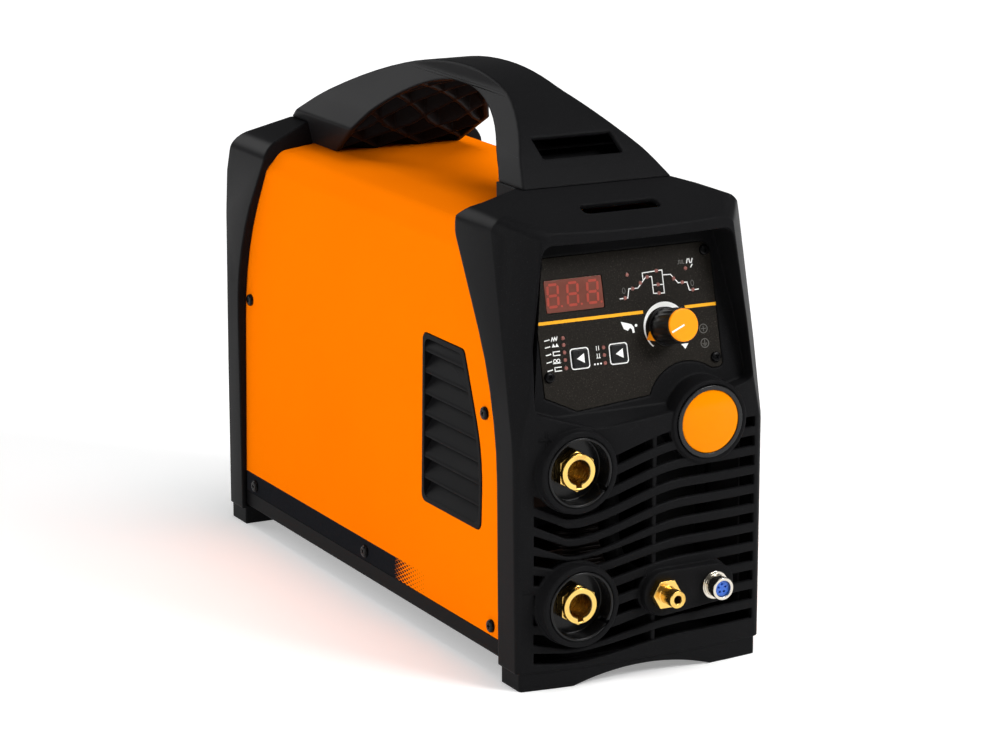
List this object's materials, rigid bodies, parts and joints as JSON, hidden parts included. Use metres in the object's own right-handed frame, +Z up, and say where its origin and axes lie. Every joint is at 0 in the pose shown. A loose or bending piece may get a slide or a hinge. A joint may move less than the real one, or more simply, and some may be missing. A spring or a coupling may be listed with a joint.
{
  "type": "tig welding machine",
  "caption": "Compact inverter TIG welding power source with a sheet cover, moulded bezels, a carrying handle, a control panel, output sockets and a rear fan.",
  "frame": {"origin": "on the floor, below the middle of the overall box", "axes": "+X to the machine's right seen from the front, -Y out of the front, +Z up"},
  "size_m": [0.1474, 0.4224, 0.2982],
  "materials": {
    "orange_paint": "satin powder coat",
    "black_plastic": "fine grain",
    "black_paint": "satin powder coat",
    "panel_film": "fine sparkle grain",
    "black_screw": "black oxide",
    "zinc_screw": "zinc",
    "display_window": "smoked red",
    "display_body": "moulded",
    "circuit_board": "solder mask",
    "lamp": "clear",
    "encoder_metal": "turned",
    "knob_plastic": "fluted",
    "orange_plastic": "smooth",
    "key_plastic": "smooth",
    "brass": "turned",
    "nickel": "plated",
    "blue_plastic": "moulded",
    "badge_rim": "smooth",
    "badge_face": "smooth",
    "fan_plastic": "moulded",
    "hose_rubber": "smooth",
    "valve_metal": "machined",
    "sink_metal": "extruded",
    "module_plastic": "moulded",
    "capacitor_sleeve": "sleeve",
    "ferrite": "pressed core",
    "copper": "copper"
  },
  "bodies": {
    "chassis": {"front_bezel": "black_plastic", "rear_bezel": "black_plastic", "cover": "orange_paint", "base_tray": "black_paint", "handle": "black_plastic", "left_vent": "black_plastic", "right_vent": "black_plastic", "cover_screws": "black_screw", "panel_screws": "black_screw", "foot_screws": "black_screw", "handle_screws": "zinc_screw", "control_panel": "panel_film", "display_lens": "display_window", "display_module": "display_body", "control_board": "circuit_board", "board_spacers": "nickel", "indicator_lamps": "lamp", "encoder": "encoder_metal", "key_switches": "display_body", "positive_socket_shell": "black_plastic", "positive_socket_contact": "brass", "negative_socket_shell": "black_plastic", "negative_socket_contact": "brass", "socket_nuts": "nickel", "gas_outlet": "brass", "torch_connector_shell": "nickel", "torch_connector_insert": "blue_plastic", "badge_ring": "badge_rim", "badge_dome": "badge_face", "fan_frame": "fan_plastic", "fan_screws": "black_screw", "switch_body": "black_plastic", "cable_gland": "black_plastic", "gas_inlet": "brass", "gas_valve": "valve_metal", "gas_hose": "hose_rubber", "heatsink_left": "sink_metal", "heatsink_right": "sink_metal", "power_modules": "module_plastic", "power_board": "circuit_board", "power_spacers": "nickel", "capacitors": "capacitor_sleeve", "transformer_core": "ferrite", "transformer_winding": "copper", "output_choke": "copper", "ignition_unit": "module_plastic", "positive_bus_bar": "copper", "negative_bus_bar": "copper"},
    "knob": {"encoder_shaft": "encoder_metal", "knob_body": "knob_plastic", "knob_cap": "orange_plastic", "knob_pointer": "orange_plastic"},
    "left_key": {"key_left": "key_plastic"},
    "right_key": {"key_right": "key_plastic"},
    "fan": {"fan_rotor": "fan_plastic"},
    "rocker": {"switch_rocker": "key_plastic"}
  },
  "joints": [
    {"name": "knob_turn", "type": "hinge", "parent": "chassis", "child": "knob", "pos_m": [0.0215, -0.17108, 0.18087], "axis": [0, -0.9703, 0.2419], "continuous": true},
    {"name": "left_key_press", "type": "slide", "parent": "chassis", "child": "left_key", "axis": [0, 0.9703, -0.2419], "range_m": [0, 0.0008], "stiffness_N_per_m": 900},
    {"name": "right_key_press", "type": "slide", "parent": "chassis", "child": "right_key", "axis": [0, 0.9703, -0.2419], "range_m": [0, 0.0008], "stiffness_N_per_m": 900},
    {"name": "fan_spin", "type": "hinge", "parent": "chassis", "child": "fan", "pos_m": [0, 0.1722, 0.0766], "axis": [0, 1, 0], "continuous": true},
    {"name": "power_switch", "type": "hinge", "parent": "chassis", "child": "rocker", "pos_m": [-0.04, 0.1822, 0.1666], "axis": [1, 0, 0], "range_deg": [0, 18]}
  ]
}
